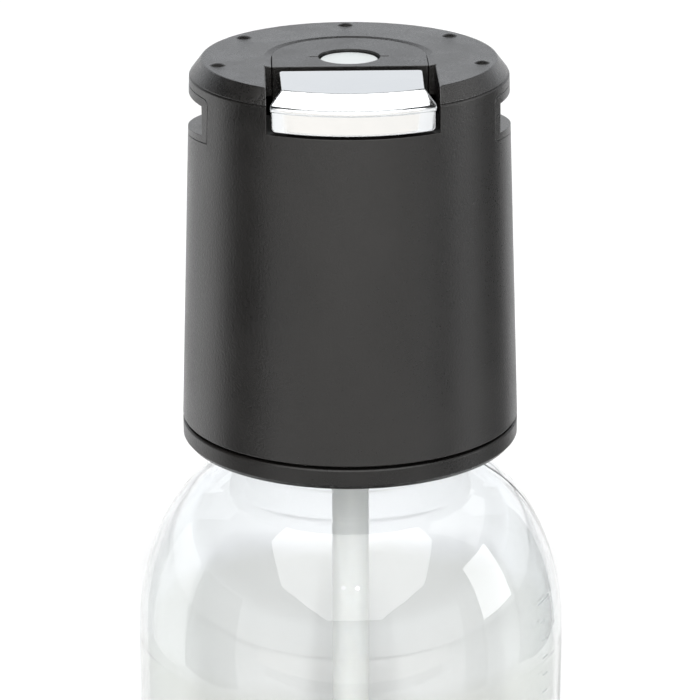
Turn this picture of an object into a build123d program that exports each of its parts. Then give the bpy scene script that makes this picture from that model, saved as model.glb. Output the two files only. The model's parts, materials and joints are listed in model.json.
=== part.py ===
from build123d import *
from math import cos, radians, sin, sqrt
import os

# A carbonating head with its dip tube, screwed on a clear one-litre bottle that stands in a base cup.
# Every piece is drawn with z = 0 at the head's lower seam and -Y to the front, where the lever is.
# write() lifts it by SEAM_HEIGHT, so in the written files z = 0 is the table. Millimetres throughout.

# --- the head's outside ------------------------------------------------------------------------
SEAM_HEIGHT = 209.9        # the head's lower seam above the table
HEAD_R = 36.0              # outer shell at the seam
SHELL_TAPER = 0.0335       # radius lost per millimetre of height
SHELL_TOP = 75.0
SHELL_WALL = 2.2
COVER_TOP = 78.2           # the flat top
COVER_EDGE_Z = 75.1        # lower edge of the cover's chamfer
COVER_FLAT_R = 30.9
COVER_EDGE_R = 33.3       # just inside the shell's top edge
COVER_CREASE_ROUND = 0.5
COVER_PLATE = 2.4
RING_TOP = -0.6            # the bottom ring starts below a dark seam line
RING_BEVEL_Z = -4.0
RING_BOTTOM = -5.0
RING_BEVEL_R = 35.15
EDGE = 0.3                 # small edge break on visible pieces

# --- arch in the cover, centre plate and gas inlet ---------------------------------------------
ARCH_R = 17.9              # upper edge of the arch's sloping strip
ARCH_INNER_R = 16.3        # lower edge of that strip
ARCH_DROP = 0.35           # height lost across the strip
ARCH_FRONT_Y = -7.2        # where the arch's two legs end
PLATE_R = 16.1
PLATE_FRONT_Y = -8.5
SKIRT_FRONT_Y = -8.0       # the plate's skirt, which closes the lever's bay at the back
PLATE_THICK = 2.3
INLET_R = 6.5
INLET_BOSS_R = 8.0
NOTCH_END = 8.3            # two small notches beside the inlet's hole
NOTCH_HALF = 0.3
NOTCH_DEPTH = 0.3
PLUNGER_R = 6.2
PLUNGER_TOP = 77.6
PLUNGER_THICK = 3.0
PLUNGER_STEM_R = 2.4
PAD_CIRCLE_R = 28.1
PAD_R = 1.75
PAD_HEIGHT = 0.5            # low domes
PAD_STEP = 360.0 / 7       # seven places round the top, the two at the front left out

# --- lever and its window ----------------------------------------------------------------------
WINDOW_HALF = 17.6
WINDOW_BOTTOM = 69.3
LEVER_BACK_Y = -11.8
LEVER_BACK_HALF = 14.75
LEVER_CREASE_HALF = 14.45
LEVER_CREASE_Y = -sqrt(COVER_FLAT_R**2 - LEVER_CREASE_HALF**2)   # on the crease's circle
LEVER_LIP_HALF = 16.75
LEVER_LIP_Y = -28.6
LEVER_WALL = 2.0
LEVER_ROUND = 0.35
LEVER_CORNER = 0.8         # the back corners seen from above
LIP_TOP = 75.2
LIP_BOTTOM = 74.1
LIP_R = 34.2
APRON_HALF = 16.65
APRON_BOTTOM = 69.7
APRON_R = 33.35
APRON_CORNER = 1.0
APRON_ROUND = 0.45
PIVOT_Y = -15.0
PIVOT_Z = 73.2
PIN_R = 1.25
PIN_HALF = 14.2
LUG_INNER = 11.9
LUG_OUTER = 14.4
LUG_R = 2.8
HEEL_Y = -11.0
HEEL_Z = 71.7
HEEL_R = 1.2
HEEL_HALF = 2.0
HEEL_WEB = 1.5             # thickness of the web that carries the heel
RUN_CLEAR = 0.06           # radial clearance of a shaft in its hole

# --- side grooves for the machine's rails ------------------------------------------------------
GROOVE_WALL_X = 30.8
GROOVE_TOP = 71.3
GROOVE_FRONT_FLOOR = 65.2  # the floor drops towards the back, so the rails enter easily
GROOVE_BACK_FLOOR = 62.4
GROOVE_FLARE_Y = 13.5      # half of the groove's length at the shell
GUIDE_INNER_X = 28.8
GUIDE_HALF_Y = 16.0
GUIDE_TOP = 73.1
GUIDE_BORDER = 1.4
GUIDE_CORNER = 1.5
GUIDE_GAP = 0.15           # parting line between guide and shell

# --- bottle and base cup -----------------------------------------------------------------------
BOTTLE_R = 46.45
BOTTLE_WALL = 1.6
DOME_RADIAL = 25.75        # the shoulder is a quarter of an ellipse
DOME_AXIAL = 39.6
DOME_START_Z = -50.5
DOME_END_DEG = 68.3        # where the shoulder meets the neck's cone
NECK_CONE_R = 24.6
NECK_CONE_Z = -9.6
NECK_R = 22.0
NECK_BORE_R = 19.5
NECK_FOOT_Z = -6.0
NECK_RIM_Z = 17.0
FOOT_Z = -SEAM_HEIGHT      # the table
CUP_HEIGHT = 30.0
CUP_WALL = 1.5
CUP_FLOOR = 2.0
CUP_RIB_START = 12.0
CUP_RIB_HALF = 0.8
CUP_ROUND = 4.0
BASE_R = 44.7              # the bottle's lower part, inside the cup
BASE_ELLIPSE = 27.4        # height of its rounded bottom
FILL_MARK_Z = -37.5        # one litre

# --- screw thread between bottle and head ------------------------------------------------------
THREAD_PITCH = 4.0
THREAD_ROOT_WIDTH = 2.1
THREAD_CREST_WIDTH = 1.0
BOTTLE_THREAD_Z = 6.0
BOTTLE_THREAD_TURNS = 1.25
BOTTLE_THREAD_CREST_R = 23.5
COLLAR_THREAD_TURNS = 1.0
COLLAR_THREAD_CREST_R = 22.4
THREAD_BURY = 0.4          # how far a ridge is rooted in its wall

# --- collar, valve block and fasteners ---------------------------------------------------------
COLLAR_R = 30.5
COLLAR_BORE_R = 23.9
COLLAR_BOTTOM = -3.5
FLANGE_BOTTOM = 19.0
FLANGE_TOP = 25.0
SPIGOT_R = 19.0
SPIGOT_BOTTOM = 10.0
COLUMN_R = 9.6
COLUMN_TOP = 66.0
STEM_BOSS_R = 4.6
POST_X = 14.0
POST_RIB_HALF = 1.0
POST_Y = -14.0
POST_R = 3.0
SCREW_CIRCLE_R = 27.2
SCREW_R = 1.5
SCREW_HEAD_R = 2.8
SCREW_HEAD = 2.2
SCREW_FIT = 0.02           # radial gap round the shank
SINK_GAP = 0.1
SOCKET_R = 1.1
SCREW_SINK_Z = 4.0         # the long screws' heads stand this high inside the collar
SCREW_END_Z = 37.0
SHELL_BOSS_R = 3.4
SHELL_BOSS_TOP = 40.0
CRADLE_BOTTOM = 66.0
CRADLE_FLOOR = 2.0
CRADLE_R = 31.0
EAR_INNER = 8.5
EAR_OUTER = 11.4
EAR_R = 2.6

# --- dip tube ----------------------------------------------------------------------------------
TUBE_R = 3.975
TUBE_BORE_R = 2.9
TUBE_TOP = 40.0
TUBE_BOTTOM = -178.0
NOZZLE_TIP = -189.0
NOZZLE_TIP_R = 2.2
NOZZLE_ORIFICE_R = 0.7
TUBE_SEAL_Z = 30.0
TUBE_SEAL_HALF = 0.9

# --- inlet valve, on the axis ------------------------------------------------------------------
INLET_BORE_R = 5.8
INLET_SEAT_BOTTOM = 54.0
INLET_SEAT_TOP = 58.0
INLET_SEAT_R = 5.0
INLET_SEAT_HOLE_R = 2.9
INLET_CHAMBER_BOTTOM = 46.0
INLET_SEAL = 0.8
RETAINER_R = 3.8
RETAINER_BOTTOM = 49.6
GAS_WAY_R = 2.5
INLET_SPRING_R = 4.5
INLET_WIRE_R = 0.4

# --- release valve, behind the lever's pivot ---------------------------------------------------
STEM_Y = -11.0
STEM_R = 1.4
STEM_WAY_R = 1.75
STEM_TOP = 70.2
STEM_CAP_R = 2.6
STEM_TAIL_R = 1.0          # the thin end that the seal and its retainer are pressed on
STEM_TAIL_Z = 13.4
STEM_CAP = 1.2
STEM_POCKET_R = 3.0
STEM_POCKET_Z = 57.0
STEM_SEAT_Z = 18.3
STEM_SEAL = 0.9
STEM_HEAD_R = 3.0
STEM_HEAD_BOTTOM = 14.4
STEM_CHAMBER_R = 4.0
STEM_SPRING_R = 2.1
STEM_WIRE_R = 0.3

# --- safety relief valve, behind the column ----------------------------------------------------
RELIEF_Y = 15.4
RELIEF_WAY_R = 1.2
RELIEF_BODY_R = 4.4
RELIEF_THREAD_R = 3.6
RELIEF_THREAD_BOTTOM = 20.5
RELIEF_BODY_TOP = 41.0
RELIEF_BORE_R = 3.0
RELIEF_FLOOR_Z = 27.0
RELIEF_POPPET_R = 2.7
RELIEF_GUIDE_R = 1.2       # the nose that centres the spring
RELIEF_GUIDE = 2.0
RELIEF_POPPET = 4.0
RELIEF_SEAL = 0.8
RELIEF_SPRING_R = 2.2
RELIEF_WIRE_R = 0.3
RELIEF_CAP = 4.0
RELIEF_VENT_R = 1.0

BOTTOM_ALIGN = (Align.CENTER, Align.CENTER, Align.MIN)
FAR = 60.0                 # past every surface of the head


# --- small shapes ------------------------------------------------------------------------------
def disc(radius, bottom, top, x=0.0, y=0.0):
    return Pos(x, y, bottom) * Cylinder(radius, top - bottom, align=BOTTOM_ALIGN)


def pipe(outer, inner, bottom, top, x=0.0, y=0.0):
    return disc(outer, bottom, top, x, y) - disc(inner, bottom, top, x, y)


def brick(x0, x1, y0, y1, z0, z1):
    """A box between two corners."""
    return Pos((x0 + x1) / 2, (y0 + y1) / 2, (z0 + z1) / 2) * Box(x1 - x0, y1 - y0, z1 - z0)


def turned(*points):
    """A full turn about Z of a closed outline of (radius, height) points."""
    outline = Polyline(*points, close=True)
    return revolve(Plane.XZ * make_face(outline), Axis.Z, 360)


def rod_x(radius, x0, x1, y, z):
    """A round bar along X."""
    return Pos((x0 + x1) / 2, y, z) * Rot(0, 90, 0) * Cylinder(radius, x1 - x0)


def coil(mean_r, wire_r, bottom, top, turns, x=0.0, y=0.0):
    """A compression spring that stands between two heights."""
    height = top - bottom - 2 * wire_r
    path = Helix(height / turns, height, mean_r)
    section = Plane.XZ * Pos(mean_r, 0) * Circle(wire_r)
    return Pos(x, y, bottom + wire_r) * sweep(section, path=path, is_frenet=True)


def ridge(root_r, crest_r, turns, start_z):
    """One right-hand screw ridge, from its root radius to its crest."""
    path = Helix(THREAD_PITCH, THREAD_PITCH * turns, root_r)
    half_root = THREAD_ROOT_WIDTH / 2
    half_crest = THREAD_CREST_WIDTH / 2
    outline = Polyline((root_r, -half_root), (crest_r, -half_crest),
                       (crest_r, half_crest), (root_r, half_root), close=True)
    section = Plane.XZ * make_face(outline)
    return Pos(0, 0, start_z) * sweep(section, path=path, is_frenet=True)


def shell_radius(z):
    return HEAD_R - SHELL_TAPER * z


def around(radius, angles):
    """Places on a circle, angles in degrees from the back, turning to the left."""
    return [(-radius * sin(radians(a)), radius * cos(radians(a))) for a in angles]


SCREW_PLACES = around(SCREW_CIRCLE_R, (45, 135, 225, 315))


# --- bottle ------------------------------------------------------------------------------------
def bottle_outline(inset):
    """The bottle's outline from foot to rim, moved inwards by inset."""
    dome_r = BOTTLE_R - DOME_RADIAL
    end = radians(DOME_END_DEG)
    dome = EllipticalCenterArc((dome_r, DOME_START_Z), DOME_RADIAL - inset, DOME_AXIAL - inset,
                               start_angle=0, arc_size=DOME_END_DEG)
    dome_end = (dome_r + (DOME_RADIAL - inset) * cos(end), DOME_START_Z + (DOME_AXIAL - inset) * sin(end))
    base_r = BASE_R - inset
    base_z = FOOT_Z + CUP_HEIGHT
    bottom_z = base_z - BASE_ELLIPSE + inset
    base = EllipticalCenterArc((0, base_z), base_r, BASE_ELLIPSE - inset, start_angle=270, arc_size=90)
    neck_r = NECK_R if inset == 0 else NECK_BORE_R
    cone_shift = inset * 0.75
    cone = (NECK_CONE_R - cone_shift, NECK_CONE_Z - cone_shift)
    step_low = base_z + 0.5 + inset / 2
    step_high = base_z + 0.8 + inset
    rim = Polyline(dome_end, cone, (neck_r, NECK_FOOT_Z), (neck_r, NECK_RIM_Z), (0, NECK_RIM_Z),
                   (0, bottom_z))
    side = Polyline((base_r, base_z), (base_r, step_low), (BOTTLE_R - inset, step_high),
                    (BOTTLE_R - inset, DOME_START_Z))
    return base + side + dome + rim


def bottle_solid(inset):
    return revolve(Plane.XZ * make_face(bottle_outline(inset)), Axis.Z, 360)


def bottle():
    glass = bottle_solid(0) - bottle_solid(BOTTLE_WALL)
    thread = ridge(NECK_R - THREAD_BURY, BOTTLE_THREAD_CREST_R, BOTTLE_THREAD_TURNS, BOTTLE_THREAD_Z)
    return glass + thread


def base_cup():
    top = FOOT_Z + CUP_HEIGHT - 0.2
    cup = disc(BOTTLE_R, FOOT_Z, top) - disc(BOTTLE_R - CUP_WALL, FOOT_Z + CUP_FLOOR, top)
    outer_edge = cup.edges().filter_by(GeomType.CIRCLE).group_by(Axis.Z)[0].sort_by(SortBy.RADIUS)[-1]
    cup = fillet(outer_edge, CUP_ROUND - CUP_WALL)
    recess_r = BOTTLE_R - 2.5 * CUP_ROUND
    cup -= disc(recess_r, FOOT_Z, FOOT_Z + CUP_FLOOR / 2)
    rib = brick(CUP_RIB_START, recess_r, -CUP_RIB_HALF, CUP_RIB_HALF, FOOT_Z, FOOT_Z + CUP_FLOOR)
    ribs = [Rot(0, 0, angle) * rib for angle in range(0, 360, 60)]
    return cup + ribs


# --- dip tube ----------------------------------------------------------------------------------
def dip_tube():
    return pipe(TUBE_R, TUBE_BORE_R, TUBE_BOTTOM, TUBE_TOP)


def tube_nozzle():
    """A tapered tip whose shank is pushed into the tube."""
    shank_top = TUBE_BOTTOM + 8.0
    return turned((NOZZLE_ORIFICE_R, NOZZLE_TIP), (NOZZLE_TIP_R, NOZZLE_TIP), (TUBE_R, TUBE_BOTTOM - 3.0),
                  (TUBE_R, TUBE_BOTTOM), (TUBE_BORE_R, TUBE_BOTTOM), (TUBE_BORE_R, shank_top),
                  (TUBE_BORE_R - 1.0, shank_top), (TUBE_BORE_R - 1.0, TUBE_BOTTOM),
                  (NOZZLE_ORIFICE_R, TUBE_BOTTOM - 4.0))


def tube_seal():
    return Pos(0, 0, TUBE_SEAL_Z) * Torus(TUBE_R + TUBE_SEAL_HALF, TUBE_SEAL_HALF)


# --- the head's casing -------------------------------------------------------------------------
def groove_cutter():
    """The right-hand groove, straight from front to back, with its floor dropping to the back."""
    reach = GUIDE_HALF_Y + 4.0
    slope = (GROOVE_BACK_FLOOR - GROOVE_FRONT_FLOOR) / (2 * GROOVE_FLARE_Y)
    front = GROOVE_FRONT_FLOOR + slope * (GROOVE_FLARE_Y - reach)
    back = GROOVE_BACK_FLOOR + slope * (reach - GROOVE_FLARE_Y)
    outline = Polyline((-reach, front), (reach, back), (reach, GROOVE_TOP), (-reach, GROOVE_TOP), close=True)
    profile = make_face(outline)
    return Pos(GROOVE_WALL_X, 0, 0) * extrude(Plane.YZ * profile, 10.0)


def guide_window(gap):
    """The right-hand opening in the shell, with rounded upper corners and a floor that drops to the back."""
    slope = (GROOVE_BACK_FLOOR - GROOVE_FRONT_FLOOR) / (2 * GROOVE_FLARE_Y)
    middle = (GROOVE_FRONT_FLOOR + GROOVE_BACK_FLOOR) / 2 - GUIDE_BORDER - gap
    half = GUIDE_HALF_Y + gap
    top = GUIDE_TOP + gap
    outline = make_face(Polyline((-half, middle - slope * half), (half, middle + slope * half),
                                 (half, top), (-half, top), close=True))
    outline = fillet(outline.vertices().group_by(Axis.Y)[-1], GUIDE_CORNER)
    return Pos(GUIDE_INNER_X - gap, 0, 0) * extrude(Plane.YZ * outline, FAR)


def guide_blank():
    """The space of the right-hand rail guide, inside the shell's outer surface."""
    return guide_window(0) & shell_body(0)


def rail_guide():
    return guide_blank() - groove_cutter()


def shell_body(inset):
    """The tapered solid inside the shell's outer surface, moved inwards by inset."""
    return turned((0, 0), (HEAD_R - inset, 0), (shell_radius(SHELL_TOP) - inset, SHELL_TOP), (0, SHELL_TOP))


def outer_shell():
    edge_r = shell_radius(SHELL_TOP)
    shell = turned((HEAD_R - SHELL_WALL, 0), (HEAD_R - EDGE, 0), (shell_radius(EDGE), EDGE),
                   (shell_radius(SHELL_TOP - EDGE), SHELL_TOP - EDGE), (edge_r - EDGE, SHELL_TOP),
                   (edge_r - SHELL_WALL, SHELL_TOP))
    rib_reach = shell_radius(SHELL_BOSS_TOP) - SHELL_WALL / 2
    for angle in (45, 135, 225, 315):
        boss = Pos(SCREW_CIRCLE_R, 0, 0) * pipe(SHELL_BOSS_R, SCREW_R, FLANGE_TOP, SHELL_BOSS_TOP)
        rib = brick(SCREW_CIRCLE_R + SHELL_BOSS_R - 0.5, rib_reach, -1.0, 1.0, FLANGE_TOP, SHELL_BOSS_TOP)
        shell += Rot(0, 0, angle) * (boss + rib)
    window = brick(-WINDOW_HALF, WINDOW_HALF, -FAR, -20.0, WINDOW_BOTTOM, SHELL_TOP + 1)
    shell -= window
    opening = guide_window(GUIDE_GAP)
    return shell - opening - mirror(opening, about=Plane.YZ)


def arch_face(radius):
    """Half a disc to the back with two straight legs to the arch's front end."""
    half_disc = Circle(radius) & (Pos(0, radius) * Rectangle(2 * radius, 2 * radius))
    legs = Pos(0, ARCH_FRONT_Y / 2) * Rectangle(2 * radius, -ARCH_FRONT_Y)
    return half_disc + legs


def arch_cutter():
    """The arch through the cover: a sloping strip above a straight wall."""
    lower = Pos(0, 0, COVER_TOP - FAR / 2) * extrude(arch_face(ARCH_INNER_R), FAR)
    rim = COVER_TOP - ARCH_DROP
    funnel = Polyline((0, rim), (ARCH_INNER_R, rim), (ARCH_R, COVER_TOP), (ARCH_R, COVER_TOP + 1),
                      (0, COVER_TOP + 1), close=True)
    back = revolve(Plane.XZ * make_face(funnel), Axis.Z, 360)
    back = back & brick(-FAR, FAR, 0, FAR, 0, FAR * 2)
    leg_outline = Polyline((-ARCH_INNER_R, rim), (ARCH_INNER_R, rim), (ARCH_R, COVER_TOP),
                           (ARCH_R, COVER_TOP + 1),
                           (-ARCH_R, COVER_TOP + 1), (-ARCH_R, COVER_TOP), close=True)
    legs = extrude(Plane.XZ * make_face(leg_outline), -ARCH_FRONT_Y)
    return lower + back + legs


def cover_pads():
    """Five low domes on the cover's flat top."""
    ball_r = (PAD_R ** 2 + PAD_HEIGHT ** 2) / (2 * PAD_HEIGHT)
    ball_z = COVER_TOP + PAD_HEIGHT - ball_r
    pads = []
    for x, y in around(PAD_CIRCLE_R, [PAD_STEP * n for n in (-2, -1, 0, 1, 2)]):
        cap = Pos(x, y, ball_z) * Sphere(ball_r)
        pads.append(cap & disc(PAD_R, COVER_TOP - 0.1, COVER_TOP + 1, x, y))
    return pads


def cover_blank():
    """The cover before its cuts: flat top, chamfer and a skirt inside the shell."""
    under = COVER_TOP - COVER_PLATE
    skirt_r = shell_radius(SHELL_TOP) - SHELL_WALL - 0.1
    skirt_low = GUIDE_TOP + 0.3
    cover = turned((0, under), (skirt_r - 1.6, under), (skirt_r - 1.6, skirt_low), (skirt_r, skirt_low),
                   (skirt_r, COVER_EDGE_Z), (COVER_EDGE_R, COVER_EDGE_Z), (COVER_FLAT_R, COVER_TOP),
                   (0, COVER_TOP))
    crease = cover.edges().filter_by(GeomType.CIRCLE).group_by(Axis.Z)[-1]
    cover = fillet(crease, COVER_CREASE_ROUND)
    bay_half = WINDOW_HALF + 1.5
    bay = brick(-bay_half, bay_half, -26.0, ARCH_FRONT_Y, CRADLE_BOTTOM + CRADLE_FLOOR, under + 0.5)
    return cover + (bay & disc(skirt_r, 0, COVER_TOP))


def window_cutter():
    """The lever's window through the cover, with its upper edges broken."""
    wide = WINDOW_HALF + EDGE
    slot = brick(-WINDOW_HALF, WINDOW_HALF, -FAR, ARCH_FRONT_Y, 0, COVER_TOP + 1)
    outline = Polyline((-WINDOW_HALF, COVER_TOP - EDGE), (WINDOW_HALF, COVER_TOP - EDGE), (wide, COVER_TOP),
                       (wide, COVER_TOP + 1), (-wide, COVER_TOP + 1), (-wide, COVER_TOP), close=True)
    edge_break = extrude(Plane.XZ * make_face(outline), FAR)
    return slot + (edge_break & brick(-FAR, FAR, -FAR, ARCH_FRONT_Y, 0, FAR * 2))


def top_cover():
    cover = cover_blank()
    cover += Pos(0, 0, COVER_TOP - 0.5) * extrude(arch_face(ARCH_R), -6.0)
    cover -= arch_cutter()
    cover -= window_cutter()
    return cover + cover_pads()


def centre_plate():
    """The arched plate with the tubular wall of the gas inlet."""
    under = COVER_TOP - PLATE_THICK
    half_disc = Circle(PLATE_R) & (Pos(0, PLATE_R) * Rectangle(2 * PLATE_R, 2 * PLATE_R))
    legs = Pos(0, PLATE_FRONT_Y / 2) * Rectangle(2 * PLATE_R, -PLATE_FRONT_Y)
    plate = Pos(0, 0, under) * extrude(half_disc + legs, PLATE_THICK)
    plate += disc(INLET_BOSS_R, COLUMN_TOP, COVER_TOP)
    plate += brick(-PLATE_R, PLATE_R, SKIRT_FRONT_Y, ARCH_FRONT_Y, CRADLE_BOTTOM + CRADLE_FLOOR, under)
    plate -= disc(INLET_R, COLUMN_TOP, COVER_TOP)
    return plate - brick(-NOTCH_END, NOTCH_END, -NOTCH_HALF, NOTCH_HALF, COVER_TOP - NOTCH_DEPTH, COVER_TOP)


def bottom_ring():
    spigot_out = HEAD_R - SHELL_WALL - 0.4
    return turned((spigot_out - 1.9, RING_BOTTOM), (RING_BEVEL_R, RING_BOTTOM), (HEAD_R, RING_BEVEL_Z),
                  (HEAD_R, RING_TOP - EDGE), (HEAD_R - EDGE, RING_TOP), (spigot_out, RING_TOP),
                  (spigot_out, 6.0), (spigot_out - 1.9, 6.0))


# --- inside the head ---------------------------------------------------------------------------
def neck_collar():
    collar = pipe(COLLAR_R, COLLAR_BORE_R, COLLAR_BOTTOM, FLANGE_BOTTOM)
    start = BOTTLE_THREAD_Z - THREAD_PITCH / 2
    collar += ridge(COLLAR_BORE_R + THREAD_BURY, COLLAR_THREAD_CREST_R, COLLAR_THREAD_TURNS, start)
    for x, y in SCREW_PLACES:
        collar -= disc(SCREW_R, COLLAR_BOTTOM, FLANGE_BOTTOM, x, y)
        collar -= disc(SCREW_HEAD_R, COLLAR_BOTTOM, SCREW_SINK_Z, x, y)
    return collar


def neck_gasket():
    return pipe(NECK_R + 1.2, NECK_BORE_R, NECK_RIM_Z, FLANGE_BOTTOM)


def valve_block():
    block = disc(COLLAR_R, FLANGE_BOTTOM, FLANGE_TOP) + disc(SPIGOT_R, SPIGOT_BOTTOM, FLANGE_BOTTOM)
    block += disc(COLUMN_R, FLANGE_TOP, COLUMN_TOP)
    block += disc(STEM_BOSS_R, FLANGE_TOP, COLUMN_TOP, 0, STEM_Y)
    for side in (-1, 1):
        block += disc(POST_R, FLANGE_TOP, COLUMN_TOP, side * POST_X, POST_Y)
        near, far = sorted((0, side * POST_X))
        block += brick(near, far, POST_Y - POST_RIB_HALF, POST_Y + POST_RIB_HALF, FLANGE_TOP, COLUMN_TOP)
        block -= disc(1.0, COLUMN_TOP - 10, COLUMN_TOP, side * POST_X, POST_Y)
    for x, y in SCREW_PLACES:
        block -= disc(SCREW_R, FLANGE_BOTTOM, FLANGE_TOP, x, y)
    block -= disc(TUBE_R + RUN_CLEAR, SPIGOT_BOTTOM, TUBE_TOP + 0.5)
    gland_half = TUBE_SEAL_HALF + 0.1
    block -= disc(TUBE_R + 2 * gland_half, TUBE_SEAL_Z - gland_half, TUBE_SEAL_Z + gland_half)
    block -= disc(GAS_WAY_R, TUBE_TOP, INLET_CHAMBER_BOTTOM)
    block -= disc(INLET_SEAT_R, INLET_CHAMBER_BOTTOM, INLET_SEAT_TOP)
    block -= disc(INLET_BORE_R, INLET_SEAT_TOP, COLUMN_TOP)
    block -= disc(STEM_WAY_R, SPIGOT_BOTTOM, COLUMN_TOP, 0, STEM_Y)
    block -= disc(STEM_CHAMBER_R, SPIGOT_BOTTOM, STEM_SEAT_Z, 0, STEM_Y)
    block -= disc(STEM_POCKET_R, STEM_POCKET_Z, COLUMN_TOP, 0, STEM_Y)
    block -= disc(RELIEF_WAY_R, SPIGOT_BOTTOM, FLANGE_TOP, 0, RELIEF_Y)
    block -= disc(RELIEF_THREAD_R, RELIEF_THREAD_BOTTOM, FLANGE_TOP, 0, RELIEF_Y)
    return block


def housing_screws():
    """Four long screws from under the collar up into the shell's bosses."""
    screws = []
    for x, y in SCREW_PLACES:
        head = disc(SCREW_HEAD_R - SINK_GAP, SCREW_SINK_Z - SCREW_HEAD, SCREW_SINK_Z, x, y)
        socket = disc(SOCKET_R, SCREW_SINK_Z - SCREW_HEAD, SCREW_SINK_Z - SCREW_HEAD / 2, x, y)
        screws.append(head + disc(SCREW_R - SCREW_FIT, SCREW_SINK_Z, SCREW_END_Z, x, y) - socket)
    return Part() + screws


def lever_cradle():
    """The tray under the lever: a floor, a front wall and two ears that hold the pin."""
    floor_top = CRADLE_BOTTOM + CRADLE_FLOOR
    cradle = brick(-WINDOW_HALF, WINDOW_HALF, -FAR, PLATE_FRONT_Y, CRADLE_BOTTOM, floor_top)
    cradle &= disc(CRADLE_R, CRADLE_BOTTOM, floor_top)
    for side in (-1, 1):
        near, far = sorted((side * EAR_INNER, side * EAR_OUTER))
        cradle += brick(near, far, PIVOT_Y - EAR_R, PIVOT_Y + EAR_R, floor_top, PIVOT_Z)
        cradle += rod_x(EAR_R, near, far, PIVOT_Y, PIVOT_Z)
        cradle -= disc(1.3, CRADLE_BOTTOM, floor_top, side * POST_X, POST_Y)
    cradle -= rod_x(PIN_R, -PIN_HALF, PIN_HALF, PIVOT_Y, PIVOT_Z)
    return cradle - disc(STEM_POCKET_R, CRADLE_BOTTOM, floor_top, 0, STEM_Y)


def cradle_screws():
    """Two short screws through the cradle's floor into the block's posts."""
    floor_top = CRADLE_BOTTOM + CRADLE_FLOOR
    screws = []
    for side in (-1, 1):
        x = side * POST_X
        head = disc(2.1, floor_top, floor_top + 1.3, x, POST_Y)
        shank = disc(1.0, COLUMN_TOP - 8, floor_top, x, POST_Y)
        screws.append(head + shank - disc(0.8, floor_top + 0.6, floor_top + 1.3, x, POST_Y))
    return Part() + screws


def lever_pin():
    return rod_x(PIN_R, -PIN_HALF, PIN_HALF, PIVOT_Y, PIVOT_Z)


def lever_envelope(inset):
    """The solid under the cover's flat top and its chamfer, moved inwards by inset."""
    flat_r = COVER_FLAT_R - inset * 0.4
    edge_r = COVER_EDGE_R - inset
    top = COVER_TOP - inset
    return turned((0, 60), (edge_r, 60), (edge_r, COVER_EDGE_Z - inset * 0.4), (flat_r, top), (0, top))


def lever_plan():
    """The lever seen from above, narrow at the back and wide at the lip."""
    right = [(LEVER_BACK_HALF, LEVER_BACK_Y), (LEVER_CREASE_HALF, LEVER_CREASE_Y),
             (LEVER_LIP_HALF, LEVER_LIP_Y), (LEVER_LIP_HALF, -FAR)]
    left = [(-x, y) for x, y in reversed(right)]
    outline = make_face(Polyline(*right, *left, close=True))
    return fillet(outline.vertices().group_by(Axis.Y)[-1], LEVER_CORNER)


def lever_upper():
    """The lever's flat top and slanted front, with rounded top edges."""
    prism = Pos(0, 0, LIP_BOTTOM) * extrude(lever_plan(), 10.0)
    upper = lever_envelope(0) & prism
    return fillet(upper.edges().group_by(Axis.Z)[-1], LEVER_ROUND)


def lever_lip():
    """The rounded lip, a little proud of the chamfer, that a thumb nail catches."""
    bevel = (LIP_TOP - LIP_BOTTOM) / 4
    inner = APRON_R - LEVER_WALL
    lip = turned((inner, LIP_BOTTOM), (LIP_R - bevel, LIP_BOTTOM), (LIP_R, LIP_BOTTOM + bevel),
                 (LIP_R, LIP_TOP - bevel), (LIP_R - bevel, LIP_TOP), (inner, LIP_TOP))
    lip &= Pos(0, 0, LIP_BOTTOM - 1) * extrude(lever_plan(), 10.0)
    upright = lip.edges().filter_by(Axis.Z)
    ends = [e for e in upright if Vector(e.center().X, e.center().Y, 0).length > LIP_R - 0.1]
    return fillet(ends, bevel)


def lever_apron():
    """The curved plate below the lip, with rounded lower corners and front edges."""
    height = LIP_BOTTOM + 0.5 - APRON_BOTTOM
    outline = Pos(0, APRON_BOTTOM + height / 2) * Rectangle(2 * APRON_HALF, height)
    outline = fillet(outline.vertices().group_by(Axis.Y)[0], APRON_CORNER)
    plate = extrude(Plane.XZ * outline, FAR) & pipe(APRON_R, APRON_R - LEVER_WALL, 60, 80)
    front = [e for e in plate.edges() if e.center().Z < LIP_BOTTOM and on_radius(e, APRON_R)]
    return fillet(front, APRON_ROUND)


def on_radius(edge, radius):
    """True if the edge's middle and ends lie at this distance from the axis."""
    places = [edge @ 0, edge @ 0.5, edge @ 1]
    return all(abs(Vector(p.X, p.Y, 0).length - radius) < 0.01 for p in places)


def lever_heel():
    """The nose that pushes the release stem, on a web behind the pin."""
    web_y = LEVER_BACK_Y - HEEL_WEB
    under = COVER_TOP - LEVER_WALL
    heel = rod_x(HEEL_R, -HEEL_HALF, HEEL_HALF, HEEL_Y, HEEL_Z)
    heel += brick(-HEEL_HALF, HEEL_HALF, web_y, HEEL_Y, HEEL_Z - HEEL_R, HEEL_Z + HEEL_R)
    return heel + brick(-HEEL_HALF, HEEL_HALF, web_y, LEVER_BACK_Y, HEEL_Z, under + 0.2)


def release_lever():
    lever = (lever_upper() - lever_envelope(LEVER_WALL)) + lever_lip() + lever_apron()
    under = COVER_TOP - LEVER_WALL
    for side in (-1, 1):
        near, far = sorted((side * LUG_INNER, side * LUG_OUTER))
        lever += rod_x(LUG_R, near, far, PIVOT_Y, PIVOT_Z)
        lever += brick(near, far, PIVOT_Y - LUG_R, PIVOT_Y + LUG_R, PIVOT_Z, under + 0.2)
    lever -= rod_x(PIN_R + RUN_CLEAR, -FAR, FAR, PIVOT_Y, PIVOT_Z)
    return lever + lever_heel()


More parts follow.
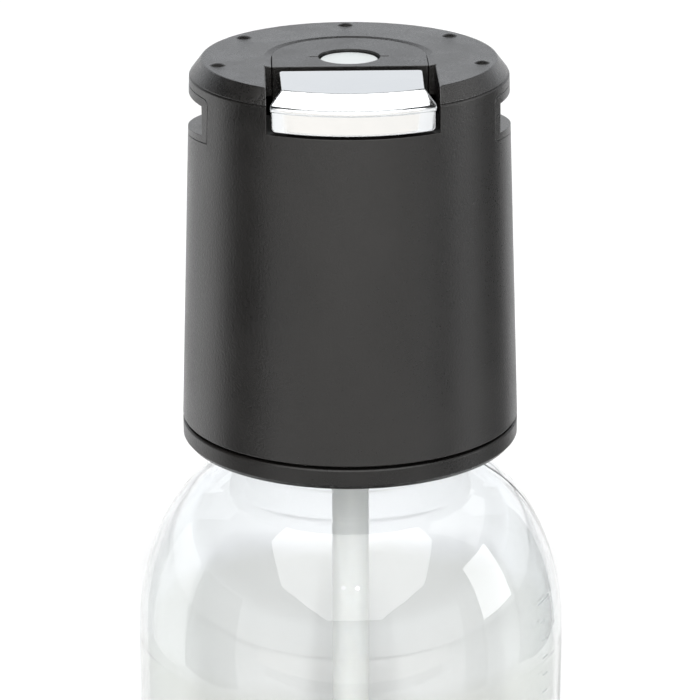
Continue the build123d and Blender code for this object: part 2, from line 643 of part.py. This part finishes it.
# --- release valve -----------------------------------------------------------------------------
def release_stem():
    stem = disc(STEM_R, STEM_SEAT_Z, STEM_TOP, 0, STEM_Y)
    stem += disc(STEM_CAP_R, STEM_TOP - STEM_CAP, STEM_TOP, 0, STEM_Y)
    return stem + disc(STEM_TAIL_R, STEM_TAIL_Z, STEM_SEAT_Z, 0, STEM_Y)


def stem_retainer():
    """The plate below the seal, pressed on the stem's thin end."""
    return pipe(STEM_HEAD_R, STEM_TAIL_R, STEM_HEAD_BOTTOM, STEM_SEAT_Z - STEM_SEAL, 0, STEM_Y)


def stem_seal():
    return pipe(STEM_HEAD_R, STEM_TAIL_R, STEM_SEAT_Z - STEM_SEAL, STEM_SEAT_Z, 0, STEM_Y)


def stem_spring():
    return coil(STEM_SPRING_R, STEM_WIRE_R, STEM_POCKET_Z, STEM_TOP - STEM_CAP, 7, 0, STEM_Y)


# --- inlet valve -------------------------------------------------------------------------------
def inlet_plunger():
    """The white disc in the top and its stem down through the seat."""
    neck_z = INLET_SEAT_BOTTOM - INLET_SEAL
    under = PLUNGER_TOP - PLUNGER_THICK
    plunger = disc(PLUNGER_R, under, PLUNGER_TOP) + disc(PLUNGER_STEM_R, INLET_SEAT_BOTTOM, under)
    plunger = chamfer(plunger.edges().filter_by(GeomType.CIRCLE).group_by(Axis.Z)[-1], EDGE)
    return plunger + disc(1.2, RETAINER_BOTTOM, neck_z + INLET_SEAL)


def inlet_retainer():
    return pipe(RETAINER_R, 1.2, RETAINER_BOTTOM, INLET_SEAT_BOTTOM - INLET_SEAL)


def inlet_seal():
    return pipe(RETAINER_R, 1.2, INLET_SEAT_BOTTOM - INLET_SEAL, INLET_SEAT_BOTTOM)


def inlet_seat():
    return pipe(INLET_SEAT_R, INLET_SEAT_HOLE_R, INLET_SEAT_BOTTOM, INLET_SEAT_TOP)


def inlet_spring():
    return coil(INLET_SPRING_R, INLET_WIRE_R, INLET_SEAT_TOP, PLUNGER_TOP - PLUNGER_THICK, 6)


# --- safety relief valve -----------------------------------------------------------------------
def relief_body():
    hexagon = Pos(0, RELIEF_Y, FLANGE_TOP) * extrude(RegularPolygon(RELIEF_BODY_R + 0.6, 6), 4.0)
    body = hexagon + disc(RELIEF_BODY_R, FLANGE_TOP, RELIEF_BODY_TOP, 0, RELIEF_Y)
    body += disc(RELIEF_THREAD_R, RELIEF_THREAD_BOTTOM, FLANGE_TOP, 0, RELIEF_Y)
    body -= disc(RELIEF_WAY_R, RELIEF_THREAD_BOTTOM, RELIEF_FLOOR_Z, 0, RELIEF_Y)
    return body - disc(RELIEF_BORE_R, RELIEF_FLOOR_Z, RELIEF_BODY_TOP, 0, RELIEF_Y)


def relief_seal():
    return disc(RELIEF_POPPET_R, RELIEF_FLOOR_Z, RELIEF_FLOOR_Z + RELIEF_SEAL, 0, RELIEF_Y)


def relief_poppet():
    bottom = RELIEF_FLOOR_Z + RELIEF_SEAL
    shoulder = bottom + RELIEF_POPPET
    guide = disc(RELIEF_GUIDE_R, shoulder, shoulder + RELIEF_GUIDE, 0, RELIEF_Y)
    return disc(RELIEF_POPPET_R, bottom, shoulder, 0, RELIEF_Y) + guide


def relief_spring():
    bottom = RELIEF_FLOOR_Z + RELIEF_SEAL + RELIEF_POPPET
    return coil(RELIEF_SPRING_R, RELIEF_WIRE_R, bottom, RELIEF_BODY_TOP, 4, 0, RELIEF_Y)


def relief_cap():
    cap = disc(RELIEF_BODY_R, RELIEF_BODY_TOP, RELIEF_BODY_TOP + RELIEF_CAP, 0, RELIEF_Y)
    return cap - disc(RELIEF_VENT_R, RELIEF_BODY_TOP, RELIEF_BODY_TOP + RELIEF_CAP, 0, RELIEF_Y)


# --- write every piece -------------------------------------------------------------------------
def write(name, shape):
    export_step(Pos(0, 0, SEAM_HEIGHT) * shape, f"parts/{name}.step")


os.makedirs("parts", exist_ok=True)
right_guide = rail_guide()
PIECES = {
    "bottle": bottle(),
    "base_cup": base_cup(),
    "dip_tube": dip_tube(),
    "tube_nozzle": tube_nozzle(),
    "tube_seal": tube_seal(),
    "outer_shell": outer_shell(),
    "top_cover": top_cover(),
    "centre_plate": centre_plate(),
    "bottom_ring": bottom_ring(),
    "right_rail_guide": right_guide,
    "left_rail_guide": mirror(right_guide, about=Plane.YZ),
    "neck_collar": neck_collar(),
    "neck_gasket": neck_gasket(),
    "valve_block": valve_block(),
    "housing_screws": housing_screws(),
    "lever_cradle": lever_cradle(),
    "cradle_screws": cradle_screws(),
    "lever_pin": lever_pin(),
    "release_lever": release_lever(),
    "release_stem": release_stem(),
    "stem_retainer": stem_retainer(),
    "stem_seal": stem_seal(),
    "stem_spring": stem_spring(),
    "inlet_plunger": inlet_plunger(),
    "inlet_retainer": inlet_retainer(),
    "inlet_seal": inlet_seal(),
    "inlet_seat": inlet_seat(),
    "inlet_spring": inlet_spring(),
    "relief_body": relief_body(),
    "relief_seal": relief_seal(),
    "relief_poppet": relief_poppet(),
    "relief_spring": relief_spring(),
    "relief_cap": relief_cap(),
}
for piece_name, piece in PIECES.items():
    write(piece_name, piece)

inside = bottle_solid(BOTTLE_WALL) & brick(-FAR, FAR, -FAR, FAR, -250, FILL_MARK_Z)
print("litres to the fill mark:", round(inside.volume / 1e6, 4))
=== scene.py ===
import json
import math

import bpy
from mathutils import Matrix, Vector
from mathutils.bvhtree import BVHTree


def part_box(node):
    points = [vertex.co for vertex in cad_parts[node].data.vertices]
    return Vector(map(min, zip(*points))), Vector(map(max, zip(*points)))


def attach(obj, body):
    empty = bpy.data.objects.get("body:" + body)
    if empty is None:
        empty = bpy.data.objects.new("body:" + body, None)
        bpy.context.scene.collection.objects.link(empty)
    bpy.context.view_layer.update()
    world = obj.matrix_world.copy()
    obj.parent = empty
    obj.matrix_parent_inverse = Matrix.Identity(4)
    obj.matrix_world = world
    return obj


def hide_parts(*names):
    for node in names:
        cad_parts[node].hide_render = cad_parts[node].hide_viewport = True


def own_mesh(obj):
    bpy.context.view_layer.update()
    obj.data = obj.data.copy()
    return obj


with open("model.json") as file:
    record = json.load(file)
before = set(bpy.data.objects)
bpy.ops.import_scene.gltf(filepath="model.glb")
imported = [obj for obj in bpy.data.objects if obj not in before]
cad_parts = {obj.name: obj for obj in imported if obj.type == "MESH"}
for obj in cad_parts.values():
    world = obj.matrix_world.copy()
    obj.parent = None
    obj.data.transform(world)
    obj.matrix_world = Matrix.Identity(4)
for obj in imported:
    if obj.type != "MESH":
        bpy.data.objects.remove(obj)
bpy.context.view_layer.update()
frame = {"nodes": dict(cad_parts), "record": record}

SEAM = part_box("outer_shell")[0].z      # height of the head's lower seam, which everything is placed from
NODES = frame["nodes"]
scene = bpy.context.scene
MM = 0.001
SATIN_BASE = (0.0040, 0.0036, 0.0032)
WARM_WHITE = (1, 0.968, 0.925)
PAINTED_SHADE_EDGE = (SEAM - 0.052, SEAM - 0.046)       # the bottle's painted shade, which stands in for the floor's shadow seen through it, fades out between these heights
RIM_TINT_AND_SHADE_EDGE = (SEAM - 0.036, SEAM - 0.022)       # and its outline's deeper tint, partly thicker wall and partly painted shade, between these
FILL_LINE = -37.5                              # the fill line's lower edge, in mm from the seam
TICK_STEP = 4.0                                # mm between the ticks under it
FILL_AROUND = 61.0                             # where the mark starts, in degrees from the front
INK_LIFT = 0.03 * MM


# --- small node helpers ------------------------------------------------------------------------
def fill_ramp(node, stops):
    """Gives a colour ramp these (place, colour) stops."""
    elements = node.color_ramp.elements
    while len(elements) < len(stops):
        elements.new(0.5)
    for element, (place, color) in zip(elements, stops):
        element.position = place
        element.color = (*color, 1.0)


class Builder:
    """A material with a Principled shader and short ways to add nodes to it."""

    def __init__(self, name):
        self.material = bpy.data.materials.new(name)
        self.material.use_nodes = True
        self.tree = self.material.node_tree
        self.tree.nodes.clear()
        self.output = self.tree.nodes.new("ShaderNodeOutputMaterial")
        self.shader = self.tree.nodes.new("ShaderNodeBsdfPrincipled")
        self.tree.links.new(self.shader.outputs["BSDF"], self.output.inputs["Surface"])
        self.where = self.tree.nodes.new("ShaderNodeTexCoord").outputs["Object"]

    def set(self, **values):
        for name, value in values.items():
            self.shader.inputs[name.replace("_", " ")].default_value = value
        return self

    def link(self, source, target):
        self.tree.links.new(source, target)

    def into(self, source, socket):
        self.link(source, self.shader.inputs[socket])

    def noise(self, scale, detail=3.0, rough=0.5, stretch=None, distort=0.0):
        node = self.tree.nodes.new("ShaderNodeTexNoise")
        node.inputs["Scale"].default_value = scale
        node.inputs["Detail"].default_value = detail
        node.inputs["Roughness"].default_value = rough
        node.inputs["Distortion"].default_value = distort
        self.link(self.stretched(stretch), node.inputs["Vector"])
        return node.outputs["Fac"]

    def stretched(self, stretch):
        """The place in the CAD frame, scaled along each axis."""
        if stretch is None:
            return self.where
        node = self.tree.nodes.new("ShaderNodeMapping")
        node.inputs["Scale"].default_value = stretch
        self.link(self.where, node.inputs["Vector"])
        return node.outputs["Vector"]

    def ramp(self, source, stops):
        node = self.tree.nodes.new("ShaderNodeValToRGB")
        fill_ramp(node, stops)
        self.link(source, node.inputs["Fac"])
        return node.outputs["Color"]

    def spread(self, source, low, high, start=0.3, end=0.7):
        """Maps a noise value from start..end to low..high."""
        node = self.tree.nodes.new("ShaderNodeMapRange")
        node.inputs["From Min"].default_value = start
        node.inputs["From Max"].default_value = end
        node.inputs["To Min"].default_value = low
        node.inputs["To Max"].default_value = high
        self.link(source, node.inputs["Value"])
        return node.outputs["Result"]

    def math(self, operation, first, second):
        node = self.tree.nodes.new("ShaderNodeMath")
        node.operation = operation
        for value, socket in ((first, node.inputs[0]), (second, node.inputs[1])):
            if isinstance(value, (int, float)):
                socket.default_value = value
            else:
                self.link(value, socket)
        return node.outputs["Value"]

    def mix(self, factor, first, second):
        node = self.tree.nodes.new("ShaderNodeMix")
        node.data_type = "RGBA"
        sockets = (node.inputs[0], node.inputs[6], node.inputs[7])
        for value, socket in zip((factor, first, second), sockets):
            if isinstance(value, tuple):
                socket.default_value = (*value, 1.0)
            elif isinstance(value, (int, float)):
                socket.default_value = value
            else:
                self.link(value, socket)
        return node.outputs[2]

    def bump(self, height, distance, strength=1.0, normal=None):
        node = self.tree.nodes.new("ShaderNodeBump")
        node.inputs["Strength"].default_value = strength
        node.inputs["Distance"].default_value = distance
        self.link(height, node.inputs["Height"])
        if normal is not None:
            self.link(normal, node.inputs["Normal"])
        return node.outputs["Normal"]

    def rounded(self, radius):
        """A normal that rounds sharp edges by this radius."""
        node = self.tree.nodes.new("ShaderNodeBevel")
        node.samples = 6
        node.inputs["Radius"].default_value = radius
        return node.outputs["Normal"]

    def edge_mask(self, radius):
        """1 near sharp edges, 0 away from them, for wear."""
        geometry = self.tree.nodes.new("ShaderNodeNewGeometry")
        node = self.tree.nodes.new("ShaderNodeVectorMath")
        node.operation = "DOT_PRODUCT"
        self.link(self.rounded(radius), node.inputs[0])
        self.link(geometry.outputs["True Normal"], node.inputs[1])
        return self.spread(node.outputs["Value"], 1.0, 0.0, 0.75, 0.98)


# --- materials ---------------------------------------------------------------------------------
def satin_black(name="satin_black", rough=0.32, seed=0.0, ior=1.5, edge=0.25):
    """Moulded black with a fine eroded grain, faint handling marks and slightly burnished edges."""
    b = Builder(name)
    fine = b.noise(2600 + seed, 3.0, 0.6)
    coarse = b.noise(1900 + seed, 2.0, 0.5)
    cloud = b.noise(26 + seed, 4.0, 0.55, distort=0.6)
    light = tuple(c * 1.5 for c in SATIN_BASE)
    dark = tuple(c * 0.8 for c in SATIN_BASE)
    burnished = tuple(c * 2.6 for c in SATIN_BASE)
    tone = b.ramp(cloud, [(0.35, dark), (0.65, light)])
    patchy = b.spread(b.noise(160, 3.0, 0.6), 0.0, 0.7, 0.4, 0.65)
    worn = b.math("MULTIPLY", b.edge_mask(0.35 * MM), patchy)
    b.into(b.mix(worn, tone, burnished), "Base Color")
    roughness = b.spread(cloud, rough - 0.03, rough + 0.05)
    speckle = b.spread(fine, -0.06, 0.06)
    b.into(b.math("ADD", roughness, speckle), "Roughness")
    normal = b.rounded(edge * MM)
    normal = b.bump(coarse, 0.048 * MM, 1.0, normal)
    b.into(b.bump(fine, 0.033 * MM, 1.0, normal), "Normal")
    return b.set(IOR=ior).material


def moulded(name, base, rough, grain=1.0, translucent=0.0):
    """Plain moulded plastic with soft mottling."""
    b = Builder(name)
    fine = b.noise(2200, 3.0, 0.6)
    cloud = b.noise(40, 4.0, 0.5, distort=0.4)
    dark = tuple(c * 0.94 for c in base)
    light = tuple(min(1, c * 1.05) for c in base)
    b.into(b.ramp(cloud, [(0.3, dark), (0.7, light)]), "Base Color")
    b.into(b.spread(cloud, rough - 0.05, rough + 0.07), "Roughness")
    b.into(b.bump(fine, 0.012 * MM, 0.35 * grain, b.rounded(0.2 * MM)), "Normal")
    if translucent:
        b.set(Subsurface_Weight=translucent, Subsurface_Scale=0.002)
        b.shader.inputs["Subsurface Radius"].default_value = (1.0, 0.95, 0.85)
    return b.set(IOR=1.49).material


def chrome():
    """Bright plating with wipe marks, fine hairlines and slightly softened edges."""
    b = Builder("chrome")
    cloud = b.noise(55, 4.0, 0.6, distort=0.5)
    hair = b.noise(90, 5.0, 0.7, stretch=(1.0, 14.0, 14.0))
    b.into(b.ramp(cloud, [(0.3, (0.685, 0.70, 0.71)), (0.7, (0.725, 0.735, 0.74))]), "Base Color")
    rough = b.math("ADD", b.spread(cloud, 0.035, 0.075), b.spread(hair, 0.0, 0.03, 0.45, 0.7))
    b.into(rough, "Roughness")
    normal = b.bump(hair, 0.002 * MM, 0.25, b.rounded(0.45 * MM))
    b.into(b.bump(b.noise(120, 2.0, 0.4), 0.004 * MM, 0.25, normal), "Normal")
    return b.set(Metallic=1.0).material


def metal(name, base, rough, stretch):
    """Turned or drawn metal with fine lines along one direction."""
    b = Builder(name)
    lines = b.noise(300, 4.0, 0.6, stretch=stretch)
    cloud = b.noise(60, 3.0, 0.5)
    b.into(b.ramp(cloud, [(0.3, tuple(c * 0.88 for c in base)), (0.7, base)]), "Base Color")
    b.into(b.spread(lines, rough - 0.08, rough + 0.1), "Roughness")
    b.into(b.bump(lines, 0.006 * MM, 0.5, b.rounded(0.12 * MM)), "Normal")
    return b.set(Metallic=1.0).material


def rubber():
    """Black rubber with a matt, finely mottled skin."""
    b = Builder("rubber")
    fine = b.noise(1500, 4.0, 0.65)
    cloud = b.noise(90, 3.0, 0.5)
    b.into(b.ramp(cloud, [(0.3, (0.016, 0.016, 0.017)), (0.7, (0.03, 0.03, 0.031))]), "Base Color")
    b.into(b.spread(fine, 0.6, 0.8), "Roughness")
    b.into(b.bump(fine, 0.02 * MM, 0.6, b.rounded(0.2 * MM)), "Normal")
    return b.set(IOR=1.45).material


def clear_plastic():
    """Clear blown polyester: a wavy, polished wall with painted shade below the shoulder, and a tint deeper
    at its outline that is partly a longer path through the wall and partly painted shade.
    """
    b = Builder("clear_plastic")
    wave = b.noise(34, 2.0, 0.4, stretch=(1.0, 1.0, 0.45))
    fine = b.noise(240, 3.0, 0.5)
    height = b.tree.nodes.new("ShaderNodeSeparateXYZ")
    b.link(b.where, height.inputs[0])
    ragged = b.spread(b.noise(110, 3.0, 0.6), -0.0015, 0.0015)
    # painted shade: the lower bottle is tinted grey-green by height, standing in for the floor's shadow seen
    # through it; noise roughens its edge
    painted_shade = b.spread(b.math("ADD", height.outputs["Z"], ragged), 1.0, 0.0, *PAINTED_SHADE_EDGE)
    clear = b.ramp(wave, [(0.35, (0.95, 0.962, 0.972)), (0.65, (0.965, 0.977, 0.986))])
    # the tint of the painted shade below the shoulder
    painted_shade_tint = b.ramp(wave, [(0.35, (0.85, 0.86, 0.84)), (0.65, (0.88, 0.888, 0.868))])
    rim = b.tree.nodes.new("ShaderNodeLayerWeight")
    rim.inputs["Blend"].default_value = 0.5
    below = b.spread(height.outputs["Z"], 1.0, 0.0, *RIM_TINT_AND_SHADE_EDGE)
    # the outline's deeper tint: partly a longer path through the wall at grazing angles, partly painted
    # shade standing in for the shadow seen through the lower bottle
    thick_wall_and_shade = b.math("MULTIPLY", b.spread(rim.outputs["Facing"], 0.0, 0.95, 0.15, 0.95), below)
    b.into(b.mix(thick_wall_and_shade, b.mix(painted_shade, clear, painted_shade_tint), (0.58, 0.61, 0.60)), "Base Color")
    b.into(b.spread(fine, 0.0, 0.03, 0.45, 0.7), "Roughness")
    normal = b.bump(wave, 0.35 * MM, 0.35)
    b.into(b.bump(fine, 0.004 * MM, 0.3, normal), "Normal")
    return b.set(IOR=1.54, Transmission_Weight=1.0).material


def print_ink():
    """Thin grey ink with a speckled tone."""
    b = Builder("print_ink")
    speck = b.noise(1800, 3.0, 0.6)
    b.into(b.ramp(speck, [(0.3, (0.33, 0.35, 0.36)), (0.7, (0.48, 0.50, 0.51))]), "Base Color")
    b.into(b.spread(speck, 0.4, 0.6), "Roughness")
    b.into(b.bump(speck, 0.006 * MM, 0.4), "Normal")
    return b.set(IOR=1.5).material


def floor_material():
    """Matt near-white paper, a little uneven in tone."""
    b = Builder("floor")
    cloud = b.noise(1.2, 3.0, 0.5)
    b.into(b.ramp(cloud, [(0.3, (0.935, 0.935, 0.935)), (0.7, (0.955, 0.955, 0.955))]), "Base Color")
    b.into(b.bump(b.noise(400, 2.0, 0.5), 0.02 * MM, 0.2), "Normal")
    return b.set(Roughness=0.85).material


def paint(nodes, material):
    """Puts one material on each of these CAD nodes."""
    for name in nodes:
        mesh = NODES[name].data
        mesh.materials.clear()
        mesh.materials.append(material)


paint(["outer_shell", "right_rail_guide", "left_rail_guide"], satin_black())
paint(["top_cover"], satin_black("satin_black_top", rough=0.28, seed=90.0, ior=1.66, edge=0.2))
paint(["bottom_ring"], satin_black("satin_black_ring", seed=40.0, ior=1.42))
paint(["centre_plate"], satin_black("satin_black_plate", rough=0.30, seed=55.0, ior=1.56, edge=0.2))
paint(["base_cup", "neck_collar", "lever_cradle"], moulded("black_plastic", (0.014, 0.014, 0.014), 0.42))
paint(["valve_block"], moulded("grey_plastic", (0.26, 0.26, 0.27), 0.5))
paint(["dip_tube", "tube_nozzle"], moulded("white_tube", (0.885, 0.89, 0.855), 0.4, 0.8, 0.15))
paint(["inlet_plunger"], moulded("white_plastic", (0.63, 0.66, 0.655), 0.35, 0.8, 0.1))
paint(["release_lever"], chrome())
paint(["housing_screws", "cradle_screws", "lever_pin", "release_stem", "stem_retainer"],
      metal("steel", (0.56, 0.56, 0.56), 0.28, (1.0, 1.0, 12.0)))
paint(["stem_spring", "inlet_spring", "relief_spring"],
      metal("spring_steel", (0.5, 0.5, 0.51), 0.32, (8.0, 8.0, 1.0)))
paint(["inlet_seat", "inlet_retainer", "relief_body", "relief_poppet", "relief_cap"],
      metal("brass", (0.62, 0.44, 0.19), 0.3, (1.0, 1.0, 10.0)))
paint(["neck_gasket", "tube_seal", "stem_seal", "inlet_seal", "relief_seal"], rubber())
paint(["bottle"], clear_plastic())


# --- shading of the curved CAD faces -----------------------------------------------------------
for node in NODES.values():
    for polygon in node.data.polygons:
        polygon.use_smooth = True


# --- springs as pieces of their own on the head -------------------------------------------------
def working_spring(node):
    """The node's own coil as a piece of its own that rides on the head, with the CAD node hidden."""
    coil = bpy.data.objects.new(node + "_coil", NODES[node].data.copy())
    scene.collection.objects.link(coil)
    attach(coil, "head")
    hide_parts(node)
    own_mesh(coil)


for joint in frame["record"]["behaviour"]["joints"]:
    for spring in joint.get("deforming_nodes", []):
        working_spring(spring["node"])


# --- the printed fill mark ---------------------------------------------------------------------
def surface_tree(node):
    """A tree of the node's faces to cast rays at."""
    mesh = NODES[node].data
    corners = [v.co.copy() for v in mesh.vertices]
    return BVHTree.FromPolygons(corners, [tuple(p.vertices) for p in mesh.polygons])


def printed_band(tree, low, high, reach):
    """A strip of ink on the surface, from z low to high and reaching this many degrees round from the mark's
    start."""
    steps = max(2, int(reach / 0.75))
    verts = []
    for i in range(steps + 1):
        angle = math.radians(reach * i / steps + FILL_AROUND)
        outward = Vector((math.sin(angle), -math.cos(angle), 0))
        for z in (low, high):
            hit = tree.ray_cast(Vector((0, 0, z)) + outward * 0.2, -outward)[0]
            verts.append(hit + outward * INK_LIFT)
    faces = [(2 * i, 2 * i + 2, 2 * i + 3, 2 * i + 1) for i in range(steps)]
    return verts, faces


def fill_mark():
    """A generic fill mark: one line with a few short ticks under it, no lettering."""
    tree = surface_tree("bottle")
    verts, faces = [], []
    bands = [(FILL_LINE, FILL_LINE + 0.4, 9.0)]
    bands += [(FILL_LINE - TICK_STEP * i, FILL_LINE + 0.3 - TICK_STEP * i, 3.0) for i in range(1, 6)]
    for low, high, reach in bands:
        v, f = printed_band(tree, SEAM + low * MM, SEAM + high * MM, reach)
        faces += [tuple(i + len(verts) for i in face) for face in f]
        verts += v
    mesh = bpy.data.meshes.new("fill_mark")
    mesh.from_pydata([tuple(v) for v in verts], [], faces)
    mesh.update()
    mark = bpy.data.objects.new("fill_mark", mesh)
    scene.collection.objects.link(mark)
    mesh.materials.append(print_ink())
    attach(mark, "bottle")


fill_mark()


# --- floor, light and camera -------------------------------------------------------------------
def floor():
    """A wide pale disc for the bottle to stand on."""
    bpy.ops.mesh.primitive_circle_add(vertices=96, radius=9.0, fill_type="NGON", location=(0, 0, 0))
    plane = bpy.context.object
    plane.name = "studio_floor"
    plane.data.materials.append(floor_material())


def bearing(azimuth, elevation):
    """The direction at this azimuth, in degrees from the front towards the right, and elevation."""
    turn, rise = math.radians(azimuth), math.radians(elevation)
    return Vector((math.sin(turn) * math.cos(rise), -math.cos(turn) * math.cos(rise), math.sin(rise)))


def panel(name, azimuth, elevation, distance, reach, radiance, color=(1, 1, 1), corners=4, seen="glossy"):
    """A glowing card facing the head. Reach is half its width and height, and radiance is what it sends out.
    It's only mirrored ("glossy") or only seen through the bottle ("transmission")."""
    target = Vector((0, 0, SEAM + 0.03))
    outward = bearing(azimuth, elevation)
    size = 1 / math.cos(math.pi / corners)
    verts = []
    for i in range(corners):
        angle = 2 * math.pi * (i + 0.5) / corners
        verts.append((size * reach[0] * math.cos(angle), size * reach[1] * math.sin(angle), 0))
    mesh = bpy.data.meshes.new(name)
    mesh.from_pydata(verts, [], [tuple(range(corners))])
    card = bpy.data.objects.new(name, mesh)
    facing = outward.to_track_quat("Z", "Y").to_matrix().to_4x4()
    card.matrix_world = Matrix.Translation(target + outward * distance) @ facing
    scene.collection.objects.link(card)
    glow = bpy.data.materials.new(name)
    glow.use_nodes = True
    tree = glow.node_tree
    tree.nodes.clear()
    out = tree.nodes.new("ShaderNodeOutputMaterial")
    emission = tree.nodes.new("ShaderNodeEmission")
    emission.inputs["Color"].default_value = (*color, 1.0)
    emission.inputs["Strength"].default_value = radiance
    tree.links.new(emission.outputs["Emission"], out.inputs["Surface"])
    mesh.materials.append(glow)
    card.visible_camera = False
    card.visible_diffuse = False
    card.visible_glossy = seen == "glossy"
    card.visible_transmission = seen == "transmission"
    card.visible_shadow = False


def lamp(name, shape, size, place, radiance):
    """A lamp that lights everything and isn't mirrored. It points at the head."""
    data = bpy.data.lights.new(name, "AREA")
    data.shape = shape
    data.size = size
    area = size ** 2 if shape == "SQUARE" else math.pi * size ** 2 / 4
    data.energy = radiance * math.pi * area
    light = bpy.data.objects.new(name, data)
    light.location = place
    aim = Vector((0, 0, SEAM)) - Vector(place)
    light.rotation_euler = aim.to_track_quat("-Z", "Y").to_euler()
    light.visible_glossy = False
    light.visible_camera = False
    scene.collection.objects.link(light)


def key_lamp(name, azimuth, elevation, distance, spread, share):
    """A small far lamp, spread degrees wide, that adds this share of radiance to a white floor."""
    place = bearing(azimuth, elevation) * distance
    half = math.radians(spread / 2)
    size = 2 * distance * math.tan(half)
    lamp(name, "DISK", size, place, share / (math.sin(half) ** 2 * math.sin(math.radians(elevation))))


def sky():
    """A pale studio round the table under a dark ceiling."""
    world = bpy.data.worlds.new("studio")
    scene.world = world
    world.use_nodes = True
    tree = world.node_tree
    tree.nodes.clear()
    out = tree.nodes.new("ShaderNodeOutputWorld")
    back = tree.nodes.new("ShaderNodeBackground")
    place = tree.nodes.new("ShaderNodeTexCoord")
    split = tree.nodes.new("ShaderNodeSeparateXYZ")
    ramp = tree.nodes.new("ShaderNodeValToRGB")
    stops = [(0.0, (1.15, 1.15, 1.15)), (0.20, (1.12, 1.15, 1.18)), (0.30, (0.42, 0.43, 0.45)),
             (0.40, (0.09, 0.09, 0.095)), (0.6, (0.05, 0.05, 0.05)), (1.0, (0.04, 0.04, 0.04))]
    fill_ramp(ramp, stops)
    tree.links.new(place.outputs["Generated"], split.inputs[0])
    tree.links.new(split.outputs["Z"], ramp.inputs["Fac"])
    tree.links.new(ramp.outputs["Color"], back.inputs["Color"])
    tree.links.new(back.outputs["Background"], out.inputs["Surface"])


def camera():
    """A long lens in front of the head and above it, turned so that the head faces a little to its right."""
    data = bpy.data.cameras.new("camera")
    data.sensor_width = 36.0
    data.lens = 182.83
    tilt, roll, swing = 0.3274, -0.0028, -0.0285
    back, above = 0.7224, 0.2588
    eye = bpy.data.objects.new("camera", data)
    turn = Matrix.Rotation(math.pi / 2 - tilt, 4, "X") @ Matrix.Rotation(roll, 4, "Z")
    around = Matrix.Rotation(swing, 4, "Z")
    eye.matrix_world = around @ Matrix.Translation((0, -back, SEAM + above)) @ turn
    scene.collection.objects.link(eye)
    scene.camera = eye


floor()
sky()
lamp("room", "SQUARE", 5.0, (0, 1.5, 3.0), 0.25)
lamp("back_room", "SQUARE", 3.0, (0, 3.2, 2.2), 2.9)
lamp("overhead", "DISK", 1.6, (0, -0.39, 1.16), 0.15)
key_lamp("key_left", -6.3, 36.6, 4.0, 2.2, 0.37)
key_lamp("key_right", 3.1, 36.6, 4.0, 2.2, 0.37)
panel("front_bounce", 0, -12.9, 0.62, (0.72, 0.053), 1.34, WARM_WHITE)
panel("front_shade", 0, -21.6, 0.62, (0.60, 0.043), 0.55, WARM_WHITE)
panel("octabox", 0, 56, 1.0, (0.87, 0.90), 3.3, corners=8)
panel("right_box", 85, 11, 1.0, (0.21, 0.23), 5.2)
panel("right_top", 112, 42, 1.0, (0.36, 0.26), 1.0)
panel("backdrop", 180, 21, 1.5, (1.0, 0.36), 1.0, (0.96, 0.985, 1.02))
panel("glass_wrap", 180, 38, 1.6, (1.8, 0.55), 0.95, (0.98, 0.99, 1.01), seen="transmission")
panel("left_strip", -113, -13, 0.5, (0.135, 0.2), 1.6)
panel("left_flag", -79, -13, 0.5, (0.15, 0.2), 0.02)
panel("right_flag", 116, -13, 0.5, (0.17, 0.2), 0.24)
panel("right_gap", 65, -13, 0.5, (0.06, 0.2), 0.42)
camera()
scene.view_settings.view_transform = "Standard"
